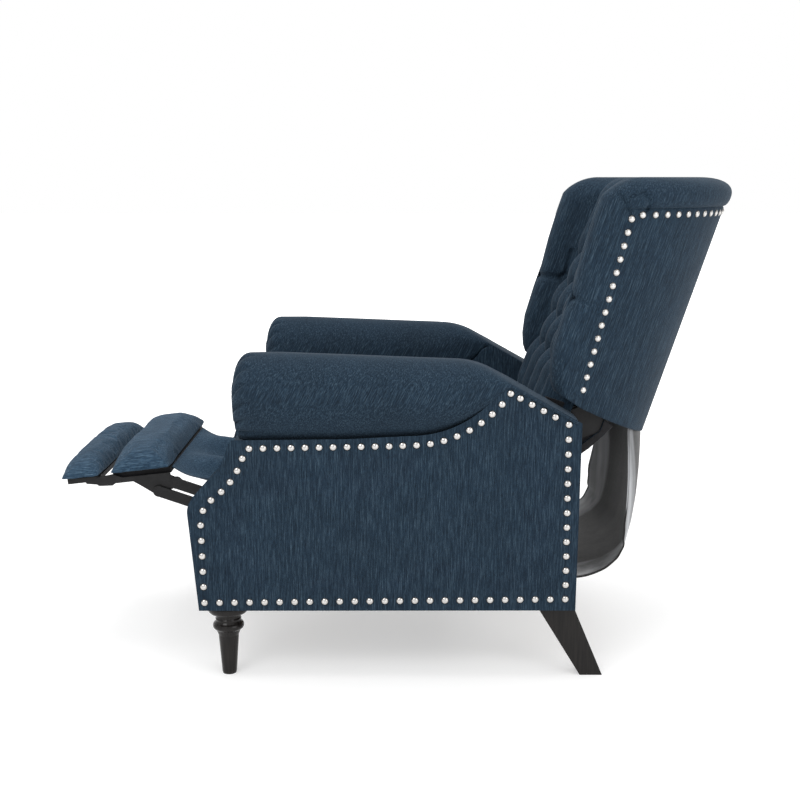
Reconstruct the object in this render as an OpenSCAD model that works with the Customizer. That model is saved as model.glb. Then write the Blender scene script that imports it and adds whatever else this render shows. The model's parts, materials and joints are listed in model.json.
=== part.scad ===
// Wingback push-back recliner with a two-pad footrest, at its real size.
// Front of the chair towards -Y, sitter's left towards +X, floor at Z = 0.
// It is drawn part reclined with the footrest out: every joint is at zero there.

/* [Arms] */
// Half width of the clear space between the arms
arm_in = 236; // [230:1:245]
// Half width over the flat outer side panels
arm_out = 330; // [322:1:340]
// Half width over the arm rolls
roll_out = 355; // [345:1:365]
// Height of the arm rolls above the floor
roll_top = 626; // [615:1:640]
// Thickness of the outer panel
panel_t = 12; // [8:1:16]
// Thickness of the padded inner panel
inner_t = 26; // [20:1:30]

/* [Legs] */
// Height of the legs
leg_h = 147; // [120:1:160]
// Distance from the centre line to each front leg
front_leg_x = 287; // [280:1:292]
// Distance from the origin forward to each front leg
front_leg_y = 330; // [320:1:336]
// Width of the rear leg planks
rear_leg_w = 38; // [30:1:44]

/* [Back] */
// Lean of the back from upright
back_lean = 18; // [12:1:22]
// Outside radius of the barrel back
barrel_r = 300; // [290:1:310]
// Height of the nail row under the top roll
rim_z = 884; // [874:1:892]
// Half width of the cushion between the wings
back_half_w = 222; // [215:1:224]
// Thickness of the outside back skin
skin_t = 10; // [6:1:12]

/* [Seat] */
// Half width of the seat cushion
seat_half_w = 222; // [215:1:224]
// Top of the seat cushion
seat_top = 470; // [460:1:480]
// Underside of the seat cushion
seat_bottom = 394; // [390:1:400]
// Depth from the origin forward to the cushion's front
seat_front = 283; // [276:1:286]

/* [Footrest] */
// Half width of both footrest pads
pad_half_w = 225; // [215:1:228]
// Thickness of the footrest pads
pad_t = 40; // [34:1:44]
// Length of the drive link, pivot to pivot
drive_len = 150; // [148:1:152]
// Length of the parallel footrest links, pivot to pivot
carry_len = 147; // [145:1:149]

/* [Mechanism] */
// Thickness of each steel link
link_t = 4.6; // [4:0.1:4.8]
// Radius of the link pins
pin_r = 5; // [4:0.5:6]
// Radial running clearance of each pin
pin_gap = 0.05; // [0.02:0.01:0.1]
// Length of the seat's swing links
swing_len = 80; // [70:1:90]

/* [Nails] */
// Radius of each nail head
nail_r = 7; // [5:0.5:8]
// Height of each nail head
nail_h = 3.5; // [2.5:0.5:4.5]

/* [Hidden] */
$fn = 48;

cloth = [0.17, 0.27, 0.36];
black = [0.05, 0.05, 0.055];
nickel = [0.78, 0.77, 0.74];
timber = [0.72, 0.58, 0.40];
big = 900;

// Layers across the chair, counted outwards from the centre line
x_flipper = 201;
x_bracket = 206;
x_carry = 211;
x_drive = 216;
x_seat_plate = 221;
x_swing = 226.2;
x_base_plate = 231;
plate_t = 5;

// Pivots in the side view, as [y, z]
recline_pivot = [215, 435];
front_swing_top = [-60, 335];
rear_swing_top = [120, 335];
front_swing_low = front_swing_top - [0, swing_len];
rear_swing_low = rear_swing_top - [0, swing_len];
drive_pivot = [-190, 345];
drive_angle = 200;
carry_angle = 161;
elbow = drive_pivot + drive_len * [cos(drive_angle), sin(drive_angle)];
bracket_low = elbow + carry_len * [cos(carry_angle), sin(carry_angle)];
parallel_step = [34, 16];
elbow_up = elbow + parallel_step;
bracket_up = bracket_low + parallel_step;
flipper_pivot = [-584, 360];
link_r = 11;

// Footrest pads slope down to the front by this much
pad_slope = 6.5;
main_rear = [-445, 388];
main_len = 122;
flipper_rear = [-578, 371];
flipper_len = 80;

// Back: foot of the leaning axes, and the barrel's centre in them
back_foot = [262, 400];
barrel_v = 221 - barrel_r;
wing_front_v = -56;
hem_slope = 0.5253;
button_rows = [440, 370, 300, 230, 160];

function arc(c, r, a0, a1, n) =
    [for (i = [0:n]) let (a = a0 + (a1 - a0) * i / n) c + r * [cos(a), sin(a)]];
// Height up the leaning axis at which depth v reaches the rim
function rim_w(v) = (rim_z - back_foot[1] + v * sin(back_lean)) / cos(back_lean);
function hem_z(y) = 431 + (503 - y) * hem_slope;
function span(p, q) = norm(q - p);
function back_yz(v, w) = back_foot
    + [v * cos(back_lean) + w * sin(back_lean), w * cos(back_lean) - v * sin(back_lean)];

// Even points along a polyline: the point at distance d from its start
function along(path, d, i = 0) =
    i >= len(path) - 2 || d <= span(path[i], path[i + 1])
    ? path[i] + (path[i + 1] - path[i]) * d / span(path[i], path[i + 1])
    : along(path, d - span(path[i], path[i + 1]), i + 1);
function path_len(path, i = 0) =
    i >= len(path) - 1 ? 0 : span(path[i], path[i + 1]) + path_len(path, i + 1);

// Side view outlines of the arm
arm_front_curve = concat(
    [[-377, leg_h]],
    arc([-348, 329], 40, 180, 140, 6),
    arc([-433.5, 479.5], 125, -50, -9, 10)
);
arm_rise = arc([20, 678], 209, 270, 327, 10);
arm_peak = [203, 565];
arm_rear_top = [327, 497];
arm_top_line = concat([[-290, 461], [-268, 461], [-100, 463]], arm_rise, [arm_peak, arm_rear_top]);
nail_rows = [
    [25, [[-368, 155], [311, 162]]],
    [5, [[-369, 186], [-371, 306]]],
    [6, concat([[-366, 334]], arc([-433.5, 479.5], 150, -56, -18, 6))],
    [11, [[-278, 452], [-20, 456.5]]],
    [10, concat([[5, 457.5]], arc([20, 678], 220, 268, 326, 10))],
    [4, [[220, 546], [285, 511]]],
    [12, [[311, 190], [310, 497]]]
];

module side(x0, x1) {
    translate([x0, 0, 0]) rotate([90, 0, 90]) linear_extrude(x1 - x0) children();
}
module both() {
    children();
    mirror([1, 0, 0]) children();
}
module on_side(s) {
    if (s > 0) children();
    else mirror([1, 0, 0]) children();
}
module in_back() {
    translate([0, back_foot[0], back_foot[1]]) rotate([-back_lean, 0, 0]) children();
}

module arm_outline() {
    polygon(concat(arm_front_curve, arm_top_line, [[327, leg_h]]));
}
module arm_core() {
    intersection() {
        offset(delta = -panel_t) polygon(concat(
            [[-378, leg_h - 40]], arm_front_curve, arm_top_line, [[327, leg_h - 40]]));
        translate([-big, leg_h]) square([2 * big, big]);
    }
}

module arm_frame(s) {
    color(timber) on_side(s) difference() {
        side(arm_in + inner_t, arm_out - panel_t) arm_core();
        side(arm_in, arm_out - 30) translate([-310, leg_h + 50]) square([225, 200]);
        side(arm_in, arm_out - 30) translate([-55, leg_h + 50]) square([310, 200]);
    }
}
module arm_outer_panel(s) {
    color(cloth) on_side(s) side(arm_out - panel_t, arm_out) arm_outline();
}
module arm_inner_panel(s) {
    color(cloth) on_side(s) side(arm_in, arm_in + inner_t) arm_outline();
}
module arm_facing(s) {
    color(cloth) on_side(s) side(arm_in + inner_t, arm_out - panel_t) difference() {
        arm_outline();
        arm_core();
    }
}
module roll_side() {
    polygon(concat(
        arc([-268, 501], 40, 270, 180, 6),
        arc([-282, roll_top - 26], 26, 180, 90, 5),
        [[-180, roll_top], [0, 618]],
        arc([95, 464], 150, 90, 60, 6),
        [[329, 502.2], arm_rear_top, arm_peak],
        [for (i = [10:-1:0]) arm_rise[i]],
        [[-100, 463]]
    ));
}
module roll_section() {
    half = (roll_out - arm_in) / 2;
    mid = [(roll_out + arm_in) / 2, roll_top - half];
    polygon(concat(arc(mid, half, 180, 0, 20), [[arm_out + 2, 448], [arm_in, 448]]));
}
module arm_roll(s) {
    color(cloth) on_side(s) intersection() {
        side(arm_in - 5, roll_out + 5) roll_side();
        translate([0, 400, 0]) rotate([90, 0, 0]) linear_extrude(800) roll_section();
    }
}
module nail_head() {
    ball_r = (nail_r * nail_r + nail_h * nail_h) / (2 * nail_h);
    intersection() {
        translate([0, 0, nail_h - ball_r]) sphere(ball_r);
        cylinder(r = nail_r + 1, h = nail_h + 1);
    }
}
module arm_nails(s) {
    color(nickel) on_side(s)
        for (row = nail_rows) let (step = path_len(row[1]) / (row[0] - 1))
            for (i = [0:row[0] - 1]) let (p = along(row[1], i * step))
                translate([arm_out, p[0], p[1]]) rotate([0, 90, 0]) nail_head();
}

module front_leg(s) {
    color(black) on_side(s) translate([front_leg_x, -front_leg_y, 0]) rotate_extrude()
        polygon(concat(
            [[0, 0], [13, 0], [14, 4]],
            [[19.5, 78], [23.5, 88]],
            arc([22, 97], 8, -60, 60, 5),
            [[24, 107]],
            arc([31, 116], 8, 220, 130, 4),
            arc([27, 133], 12.5, -50, 70, 6),
            [[31, leg_h], [0, leg_h]]
        ));
}
module rear_leg(s) {
    half = rear_leg_w / 2;
    color(black) on_side(s) side(284 - half, 284 + half)
        polygon([[346, 0], [389, 0], [327, leg_h], [256, leg_h]]);
}
module front_rail() {
    color(timber) translate([-arm_in, -235, leg_h + 3]) cube([2 * arm_in, 22, 28]);
}
module rear_rail() {
    color(timber) translate([-arm_in, 300, leg_h + 3]) cube([2 * arm_in, 26, 50]);
}

// A flat link between two pivots, with a bore at each end
module link(p, q, r, hole) {
    turn = atan2(q[1] - p[1], q[0] - p[0]);
    difference() {
        union() {
            translate(p) circle(r);
            translate(q) circle(r);
            translate(p) rotate(turn) translate([0, 0.5 - r]) square([span(p, q), 2 * r - 1]);
        }
        translate(p) circle(hole);
        translate(q) circle(hole);
    }
}
module pins(points, x0, x1) {
    for (p = points) translate([x0, p[0], p[1]]) rotate([0, 90, 0]) cylinder(r = pin_r, h = x1 - x0);
}

module base_plate(s) {
    color(black) on_side(s) side(x_base_plate, arm_in) difference() {
        union() {
            translate([-80, 318]) square([320, 34]);
            translate([192, 200]) square([46, 235]);
            translate(recline_pivot) circle(20);
            translate([-80, 180]) square([40, 150]);
        }
        translate(front_swing_top) circle(pin_r);
        translate(rear_swing_top) circle(pin_r);
        translate(recline_pivot) circle(pin_r);
    }
}
module base_pins() {
    color(black) both() pins([front_swing_top, rear_swing_top, recline_pivot], x_swing, arm_in);
}
module swing_links(top, low) {
    color(black) both() side(x_swing, x_swing + link_t) link(top, low, link_r, pin_r + pin_gap);
}
module seat_plate(s) {
    color(black) on_side(s) side(x_seat_plate, x_seat_plate + plate_t) difference() {
        union() {
            translate([-206, 330]) square([346, 56]);
            translate([front_swing_low[0] - 14, front_swing_low[1]]) square([28, 90]);
            translate([rear_swing_low[0] - 14, rear_swing_low[1]]) square([28, 90]);
            translate(front_swing_low) circle(14);
            translate(rear_swing_low) circle(14);
        }
        translate(front_swing_low) circle(pin_r);
        translate(rear_swing_low) circle(pin_r);
        translate(drive_pivot) circle(pin_r);
    }
}
module seat_pins() {
    color(black) both() {
        pins([front_swing_low, rear_swing_low], x_seat_plate, x_swing + link_t);
        pins([drive_pivot], x_drive, x_seat_plate + plate_t);
    }
}
module seat_side_rail(s) {
    color(timber) on_side(s) translate([190, -240, 362]) cube([x_seat_plate - 190, 420, 28]);
}
module seat_front_rail() {
    color(timber) translate([-x_seat_plate, -seat_front + 4, 362]) cube([2 * x_seat_plate, 39, 28]);
}
module seat_rear_rail() {
    color(timber) translate([-x_seat_plate, 180, 362]) cube([2 * x_seat_plate, 18, 28]);
}
module sinuous_spring(x) {
    pitch = 24;
    reach = 16;
    wire = 4;
    for (i = [0:17]) let (y = -232 + i * pitch, flip = i % 2) {
        translate([x - reach, y - wire / 2]) square([2 * reach, wire]);
        translate([x + (flip ? reach : -reach), y + pitch / 2]) difference() {
            circle(pitch / 2 + wire / 2);
            circle(pitch / 2 - wire / 2);
            translate([flip ? -30 : 0, -30]) square([30, 60]);
        }
    }
    translate([x - reach, -232 + 18 * pitch - wire / 2]) square([reach, wire]);
    translate([x - wire / 2, -260]) square([wire, 29]);
    translate([x - wire / 2, 199 - wire]) square([wire, 4]);
}
module seat_springs() {
    color(nickel) translate([0, 0, 390]) linear_extrude(4)
        for (x = [-136, -68, 0, 68, 136]) sinuous_spring(x);
}
module seat_cushion() {
    color(cloth) side(-seat_half_w, seat_half_w) polygon(concat(
        arc([-seat_front + 20, seat_bottom + 20], 20, 270, 180, 5),
        arc([-seat_front + 26, seat_top - 26], 26, 180, 90, 5),
        arc([182, seat_top - 18], 18, 90, 0, 4),
        [[200, seat_bottom]]
    ));
}

module drive_links() {
    color(black) both() side(x_drive, x_drive + link_t) difference() {
        union() {
            link(drive_pivot, elbow, 13, 1);
            link(elbow, elbow_up, link_r, 1);
        }
        translate(drive_pivot) circle(pin_r + pin_gap);
        translate(elbow) circle(pin_r);
        translate(elbow_up) circle(pin_r);
    }
}
module torque_tube() {
    centre = drive_pivot + 75 * [cos(drive_angle), sin(drive_angle)];
    color(black) translate([-x_drive, centre[0], centre[1]]) rotate([0, 90, 0]) difference() {
        cylinder(r = 9.5, h = 2 * x_drive);
        translate([0, 0, -1]) cylinder(r = 7.5, h = 2 * x_drive + 2);
    }
}
module elbow_pins() {
    color(black) both() pins([elbow, elbow_up], x_carry, x_drive + link_t);
}
module lower_links() {
    color(black) both() side(x_carry, x_carry + link_t)
        link(elbow, bracket_low, link_r, pin_r + pin_gap);
}
module upper_links() {
    color(black) both() side(x_carry, x_carry + link_t)
        link(elbow_up, bracket_up, link_r, pin_r + pin_gap);
}
module on_pad(rear) {
    translate(rear) rotate(180 + pad_slope) mirror([0, 1]) children();
}
module footrest_brackets() {
    color(black) both() side(x_bracket, x_bracket + link_t) difference() {
        union() {
            on_pad(main_rear) translate([4, -19]) square([main_len - 4, 10]);
            polygon([[-450, 374], [-424, 363], [-436, 350], [-470, 330], [-505, 352], [-530, 366]]);
            polygon([[-540, 368], [-560, 352], [-584, 351], [-588, 360], [-584, 369], [-560, 374]]);
            translate(bracket_low) circle(12);
            translate(bracket_up) circle(12);
            translate(flipper_pivot) circle(9);
        }
        translate(bracket_low) circle(pin_r);
        translate(bracket_up) circle(pin_r);
        translate(flipper_pivot) circle(pin_r);
    }
}
module bracket_pins() {
    color(black) both() {
        pins([bracket_low, bracket_up], x_bracket, x_carry + link_t);
        pins([flipper_pivot], x_flipper, x_bracket + link_t);
    }
}
module footrest_board() {
    color(timber) side(-198, 198) on_pad(main_rear) translate([4, -12]) square([main_len - 8, 11.5]);
}
module pad_outline(long) {
    edge = 14;
    polygon(concat(
        [[4, 0], [long - 4, 0]],
        arc([long - edge, edge], edge, -60, 90, 6),
        [[long / 2, pad_t]],
        arc([edge, pad_t - edge], edge, 90, 240, 6)
    ));
}
module footrest_pad() {
    color(cloth) side(-pad_half_w, pad_half_w) on_pad(main_rear) pad_outline(main_len);
}
module flipper_brackets() {
    color(black) both() side(x_flipper, x_flipper + link_t) difference() {
        union() {
            on_pad(flipper_rear) translate([8, -10]) square([flipper_len - 16, 9.5]);
            polygon([[-584, 352], [-574, 360], [-584, 369.5], [-620, 365.5], [-612, 354]]);
            translate(flipper_pivot) circle(9);
        }
        translate(flipper_pivot) circle(pin_r + pin_gap);
    }
}
module flipper_board() {
    color(timber) side(-198, 198) on_pad(flipper_rear) translate([8, -9]) square([flipper_len - 14, 8.5]);
}
module flipper_pad() {
    color(cloth) side(-pad_half_w, pad_half_w) on_pad(flipper_rear) pad_outline(flipper_len);
}
module footrest_flap() {
    line = [[-447, 384], [-374, 346], [-320, 333], [-292, 344], [-277, 359], [-255, 359]];
    color(cloth) side(-190, 190) polygon(concat(line, [for (i = [5:-1:0]) line[i] + [0, 3]]));
}

// Half discs and rings in the back's own axes, drawn as [x, v]
module barrel(r) {
    intersection() {
        translate([0, barrel_v]) circle(r, $fn = 96);
        translate([-big, wing_front_v - 10]) square([2 * big, big]);
    }
}
module up_back(w0, w1) {
    in_back() translate([0, 0, w0]) linear_extrude(w1 - w0) children();
}
module between_hem_and_rim() {
    side(-big, big) polygon([
        [150, hem_z(150)], [700, hem_z(700)], [700, rim_z], [150, rim_z]
    ]);
}
module wing_side() {
    polygon(concat(
        [[-22, 120], [-22, 143], [-46, 190], [-55, 240], [-56, 300], [-63, 440], [-64, 482]],
        [[-56, 520], [200, 620], [400, 620], [400, 0]]
    ));
}
module back_post(s) {
    color(timber) on_side(s) in_back() translate([190, 62, 92]) cube([32, 38, 400]);
}
module back_rails() {
    color(timber) in_back() {
        translate([-190, 62, 110]) cube([380, 38, 50]);
        translate([-190, 62, 440]) cube([380, 38, 50]);
    }
}
module back_ribs() {
    color(timber) for (w = [128, 470]) up_back(w, w + 15) intersection() {
        barrel(barrel_r - skin_t);
        translate([-big, 100]) square([2 * big, big]);
    }
}
module back_brackets() {
    a = back_yz(62, 96);
    b = back_yz(62, 150);
    c = back_yz(94, 150);
    d = back_yz(94, 96);
    color(black) both() side(x_swing, x_swing + link_t) difference() {
        union() {
            translate(recline_pivot) circle(18);
            polygon([recline_pivot - [0, 17], recline_pivot + [-8, 16], b, c, d, a - [0, 20]]);
        }
        translate(recline_pivot) circle(pin_r + pin_gap);
    }
}
module back_gussets() {
    color(black) both() side(back_half_w, x_swing) polygon([
        back_yz(-15, 40), back_yz(66, 30), [364, 430], [392, 456],
        [408, 472], back_yz(98, 124), back_yz(60, 130), back_yz(-25, 130)
    ]);
}
// Front face of the back cushion at height w
function front_v(w) = -28 + max(w - 110, 0) * 0.1;
module button_points() {
    for (row = [0:4]) let (n = row % 2 ? 3 : 4)
        for (i = [0:n - 1]) let (w = button_rows[row])
            translate([(i - (n - 1) / 2) * 96, front_v(w) + 16, w]) rotate([90, 0, 0]) children();
}
module back_cushion() {
    color(cloth) in_back() difference() {
        translate([-back_half_w, 0, 0]) rotate([90, 0, 90]) linear_extrude(2 * back_half_w) polygon([
            [-18, 40], [50, 40], [60, 96], [60, rim_w(60)], [12, rim_w(12)], [-28, 110]
        ]);
        button_points() cylinder(r = 14, h = 60);
    }
}
module back_buttons() {
    color(cloth) in_back() button_points() cylinder(r = 11, h = 6);
}
module back_wing(s) {
    color(cloth) on_side(s) intersection() {
        up_back(60, 640) intersection() {
            barrel(barrel_r - skin_t);
            translate([x_base_plate + 0.5, wing_front_v - 10]) square([100, big]);
        }
        in_back() rotate([90, 0, 90]) linear_extrude(big) wing_side();
        between_hem_and_rim();
    }
}
module outside_back() {
    color(cloth) intersection() {
        up_back(-60, 700) difference() {
            barrel(barrel_r);
            translate([0, barrel_v]) circle(barrel_r - skin_t, $fn = 96);
        }
        in_back() translate([-big, 0, 0]) rotate([90, 0, 90]) linear_extrude(2 * big) wing_side();
        between_hem_and_rim();
    }
}
module back_top_roll() {
    color(cloth) intersection() {
        up_back(300, 800) difference() {
            barrel(barrel_r);
            translate([-back_half_w, -200]) square([2 * back_half_w, 230]);
        }
        side(-big, big) polygon(concat(
            [[352, rim_z]],
            arc([427, 880], 64, 165, 90, 6),
            arc([599, 888], 56, 90, 20, 6),
            [[660, 896], [652, rim_z]]
        ));
    }
}
module barrel_nail() {
    translate([barrel_r, 0, 0]) rotate([0, 90, 0]) nail_head();
}
module back_nails() {
    color(nickel) in_back() {
        both() for (i = [0:13]) translate([0, barrel_v, 170 + i * 25])
            rotate([0, 0, 21 - 4.6 * i / 13]) barrel_nail();
        for (i = [-14:14]) let (a = 90 + i * 5)
            translate([0, barrel_v, nail_row_w(a)]) rotate([0, 0, a]) barrel_nail();
    }
}
function nail_row_w(a) =
    (rim_z - 8 - back_foot[1] + (barrel_v + barrel_r * sin(a)) * sin(back_lean)) / cos(back_lean);
module rear_sling() {
    path = [[462, 468], [458, 412], [446, 314], [433, 244], [407, 210], [380, 195], [350, 181], [326, 172]];
    color(black) difference() {
        side(-232, 232)
            polygon(concat(path, [for (i = [7:-1:0]) path[i] + (i == 0 || i == 1 ? [3, 0] : [3, -2])]));
        both() translate([136, 440, 449]) cube([100, 40, 30]);
    }
}

arm_frame(1);  // arm_frame_left
arm_frame(-1);  // arm_frame_right
arm_outer_panel(1);  // arm_outer_panel_left
arm_outer_panel(-1);  // arm_outer_panel_right
arm_inner_panel(1);  // arm_inner_panel_left
arm_inner_panel(-1);  // arm_inner_panel_right
arm_facing(1);  // arm_facing_left
arm_facing(-1);  // arm_facing_right
arm_roll(1);  // arm_roll_left
arm_roll(-1);  // arm_roll_right
arm_nails(1);  // arm_nails_left
arm_nails(-1);  // arm_nails_right
front_leg(1);  // front_leg_left
front_leg(-1);  // front_leg_right
rear_leg(1);  // rear_leg_left
rear_leg(-1);  // rear_leg_right
front_rail();
rear_rail();
base_plate(1);  // base_plate_left
base_plate(-1);  // base_plate_right
base_pins();
swing_links(front_swing_top, front_swing_low);  // front_swing_links
swing_links(rear_swing_top, rear_swing_low);  // rear_swing_links
seat_plate(1);  // seat_plate_left
seat_plate(-1);  // seat_plate_right
seat_pins();
seat_side_rail(1);  // seat_side_rail_left
seat_side_rail(-1);  // seat_side_rail_right
seat_front_rail();
seat_rear_rail();
seat_springs();
seat_cushion();
drive_links();
torque_tube();
elbow_pins();
lower_links();
upper_links();
footrest_brackets();
bracket_pins();
footrest_board();
footrest_pad();
flipper_brackets();
flipper_board();
flipper_pad();
footrest_flap();
back_post(1);  // back_post_left
back_post(-1);  // back_post_right
back_rails();
back_ribs();
back_brackets();
back_cushion();
back_wing(1);  // back_wing_left
back_wing(-1);  // back_wing_right
outside_back();
back_top_roll();
back_nails();
back_buttons();
back_gussets();
rear_sling();
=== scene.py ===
"""Looks of the wingback push-back recliner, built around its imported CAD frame. Metres, +Z up, front -Y."""
import json
import math

import bpy
import numpy as np
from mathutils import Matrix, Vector


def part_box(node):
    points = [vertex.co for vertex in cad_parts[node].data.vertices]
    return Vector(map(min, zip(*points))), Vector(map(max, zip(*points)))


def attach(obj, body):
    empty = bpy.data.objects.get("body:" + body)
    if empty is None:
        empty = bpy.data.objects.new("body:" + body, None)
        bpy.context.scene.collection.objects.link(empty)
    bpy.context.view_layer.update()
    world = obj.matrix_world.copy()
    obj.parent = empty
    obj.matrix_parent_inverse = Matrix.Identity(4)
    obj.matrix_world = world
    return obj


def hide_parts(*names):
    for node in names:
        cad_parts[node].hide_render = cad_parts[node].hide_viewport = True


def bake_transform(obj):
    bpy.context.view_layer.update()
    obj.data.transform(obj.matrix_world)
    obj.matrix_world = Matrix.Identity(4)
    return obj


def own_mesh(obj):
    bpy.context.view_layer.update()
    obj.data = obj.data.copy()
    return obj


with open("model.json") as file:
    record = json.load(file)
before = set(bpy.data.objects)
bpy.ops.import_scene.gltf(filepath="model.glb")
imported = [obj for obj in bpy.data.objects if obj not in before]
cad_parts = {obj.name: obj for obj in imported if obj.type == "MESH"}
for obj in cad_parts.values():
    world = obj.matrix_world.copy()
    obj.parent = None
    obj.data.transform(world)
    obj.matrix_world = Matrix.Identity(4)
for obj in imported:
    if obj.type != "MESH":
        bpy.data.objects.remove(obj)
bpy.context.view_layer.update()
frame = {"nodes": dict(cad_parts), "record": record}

SIDES = {"left": 1, "right": -1}
MM = 0.001
NAIL_HEIGHT = 0.0035

# The back leans by LEAN about FOOT. Along it, v runs rearwards and w up. Its outside is part of a
# barrel of radius BARREL_R, whose axis runs up at v = BARREL_V.
LEAN = math.radians(18)
S, C = math.sin(LEAN), math.cos(LEAN)
BACK_UP = (0, S, C)
FOOT = np.array([0.262, 0.400])
BARREL_R = 0.300
BARREL_V = 0.221 - BARREL_R


# ---------------------------------------------------------------- helpers

def smooth(low, high, value):
    """Rises smoothly from 0 at low to 1 at high."""
    t = np.clip((np.asarray(value, float) - low) / (high - low), 0, 1)
    return t * t * (3 - 2 * t)


def arc(centre, radius, a0, a1, count):
    """Points of an arc from a0 to a1 degrees."""
    angles = np.radians(np.linspace(a0, a1, count + 1))
    return np.array(centre) + radius * np.stack([np.cos(angles), np.sin(angles)], 1)


def crease(distance, width):
    """A fold's depth, from 1 on its line to nearly 0 at twice its width."""
    return np.exp(-(distance / width) ** 2)


def to_segment(points, a, b):
    """Distance of 2-D points from the segment a-b."""
    a, b = np.array(a, float), np.array(b, float)
    span = b - a
    t = np.clip(((points - a) @ span) / (span @ span), 0, 1)
    return np.linalg.norm(points - a - t[..., None] * span, axis=-1)


def make(name, vertices, faces, material, shade=True):
    """Link a new mesh object with one material."""
    mesh = bpy.data.meshes.new(name)
    mesh.from_pydata([tuple(map(float, v)) for v in vertices], [], faces)
    mesh.validate()
    mesh.update()
    if shade:
        mesh.polygons.foreach_set("use_smooth", [True] * len(mesh.polygons))
    obj = bpy.data.objects.new(name, mesh)
    bpy.context.scene.collection.objects.link(obj)
    mesh.materials.append(material)
    return obj


def grid(name, points, material, loop_u=False, loop_v=False, close_u=False, flip=False):
    """A mesh over an array of points [u][v]. close_u caps both ends of a tube looped in v."""
    nu, nv = points.shape[:2]
    vertices = list(points.reshape(-1, 3))
    faces = []
    for i in range(nu if loop_u else nu - 1):
        for j in range(nv if loop_v else nv - 1):
            k, m = (i + 1) % nu, (j + 1) % nv
            quad = (i * nv + j, k * nv + j, k * nv + m, i * nv + m)
            faces.append(quad[::-1] if flip else quad)
    if close_u:
        for row in (0, nu - 1):
            ring = list(range(row * nv, row * nv + nv))
            centre = len(vertices)
            vertices.append(points[row].mean(0))
            for j in range(nv):
                tri = (ring[j], ring[(j + 1) % nv], centre)
                faces.append(tri[::-1] if (row == 0) == flip else tri)
    return make(name, vertices, faces, material)


def add_modifier(obj, kind, **settings):
    modifier = obj.modifiers.new(kind.lower(), kind)
    for key, value in settings.items():
        setattr(modifier, key, value)
    return modifier


def place(obj, body, slot, *nodes):
    """Ride on a body and stand for the named CAD nodes. The slot is not used."""
    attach(obj, body)
    if nodes:
        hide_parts(*nodes)
    return obj


def mirrored(points, side):
    return points * np.array([side, 1, 1])


def back_side(v, w):
    """Side view place (y, z) of a point on the leaning back."""
    return FOOT[0] + v * C + w * S, FOOT[1] - v * S + w * C


def from_back(x, v, w):
    """Turn back axes (across, rearwards, up the lean) into scene axes."""
    return np.stack(np.broadcast_arrays(x, *back_side(v, w)), -1)


def w_at_level(v, z):
    """How far up the back a point at v stands when its height is z."""
    return (z - FOOT[1] + v * S) / C


# ---------------------------------------------------------------- materials

class Shader:
    """Small helper that adds and links nodes of one material."""

    def __init__(self, name):
        self.material = bpy.data.materials.new(name)
        self.material.use_nodes = True
        self.tree = self.material.node_tree
        self.surface = self.tree.nodes["Principled BSDF"]
        self.coords = self.node("ShaderNodeTexCoord").outputs["Object"]

    def node(self, kind, inputs=None, **settings):
        made = self.tree.nodes.new(kind)
        for key, value in settings.items():
            setattr(made, key, value)
        for key, value in (inputs or {}).items():
            if isinstance(value, bpy.types.NodeSocket):
                self.tree.links.new(value, made.inputs[key])
            else:
                made.inputs[key].default_value = value
        return made

    def maths(self, operation, a, b=0.0):
        return self.node("ShaderNodeMath", {0: a, 1: b}, operation=operation).outputs[0]

    def noise(self, vector, scale, detail=3.0, rough=0.55):
        inputs = {"Vector": vector, "Scale": scale, "Detail": detail, "Roughness": rough}
        return self.node("ShaderNodeTexNoise", inputs).outputs["Fac"]

    def ramp(self, fac, stops):
        made = self.node("ShaderNodeValToRGB", {"Fac": fac})
        elements = made.color_ramp.elements
        while len(elements) < len(stops):
            elements.new(0.5)
        for element, (position, colour) in zip(elements, stops):
            element.position = position
            element.color = (*colour, 1)
        return made.outputs["Color"]

    def mix(self, fac, a, b, blend="MIX"):
        made = self.node("ShaderNodeMix", data_type="RGBA", blend_type=blend)
        for key, value in ((0, fac), (6, a), (7, b)):
            if isinstance(value, bpy.types.NodeSocket):
                self.tree.links.new(value, made.inputs[key])
            else:
                made.inputs[key].default_value = value if key == 0 else (*value, 1)
        return made.outputs[2]

    def stretched(self, direction, keep):
        """Object coordinates squeezed along direction, so that noise makes long streaks."""
        direction = Vector(direction).normalized()
        dot = self.node("ShaderNodeVectorMath", {0: self.coords, 1: direction}, operation="DOT_PRODUCT")
        along = self.maths("MULTIPLY", dot.outputs["Value"], 1 - keep)
        scaled = self.node("ShaderNodeVectorMath", {0: direction, "Scale": along}, operation="SCALE")
        inputs = {0: self.coords, 1: scaled.outputs[0]}
        return self.node("ShaderNodeVectorMath", inputs, operation="SUBTRACT").outputs[0]

    def bands(self, direction, scale):
        direction = Vector(direction).normalized()
        dot = self.node("ShaderNodeVectorMath", {0: self.coords, 1: direction}, operation="DOT_PRODUCT")
        return self.maths("SINE", self.maths("MULTIPLY", dot.outputs["Value"], scale))

    def bump(self, height, strength, distance):
        inputs = {"Height": height, "Strength": strength, "Distance": distance}
        return self.node("ShaderNodeBump", inputs).outputs["Normal"]

    def set(self, **values):
        for key, value in values.items():
            socket = self.surface.inputs[key.replace("_", " ")]
            if isinstance(value, bpy.types.NodeSocket):
                self.tree.links.new(value, socket)
            else:
                socket.default_value = value
        return self.material


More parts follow.
